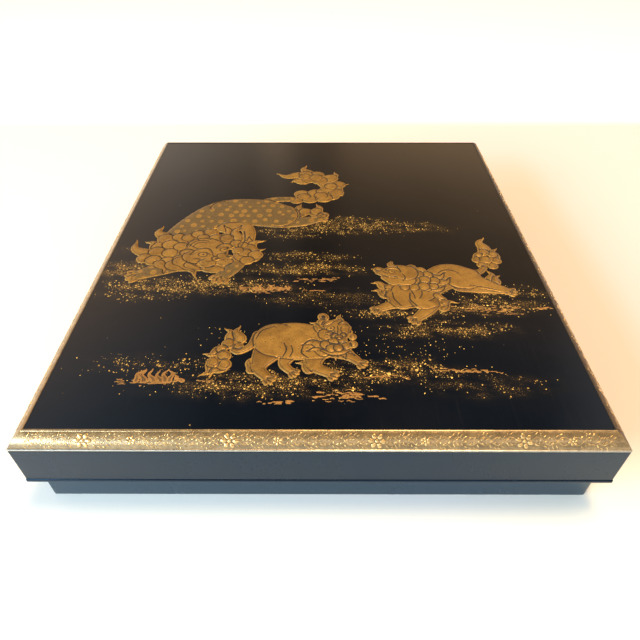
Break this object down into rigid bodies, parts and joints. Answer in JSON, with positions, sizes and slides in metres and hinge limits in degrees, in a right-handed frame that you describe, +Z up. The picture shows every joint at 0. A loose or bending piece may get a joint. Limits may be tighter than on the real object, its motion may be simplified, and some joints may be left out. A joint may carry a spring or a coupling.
{
  "type": "lacquer writing box",
  "caption": "Rectangular black lacquer box: shallow hollow tray under an overlapping lift-off lid with a rounded gold moulding and low-relief gold figures.",
  "frame": {"origin": "middle of the underside, on the table plane", "axes": "+Z up; +Y along the longer side, away from the viewer of the picture; X along the shorter side; the picture is upright seen from -Y"},
  "size_m": [0.221, 0.2506, 0.0413],
  "materials": {
    "lid_lacquer": "lacquered wood, polished black, gold on the moulding and the figures",
    "base_lacquer": "lacquered wood, satin black"
  },
  "bodies": {
    "root": {"lid": "lid_lacquer", "base": "base_lacquer"}
  },
  "joints": []
}
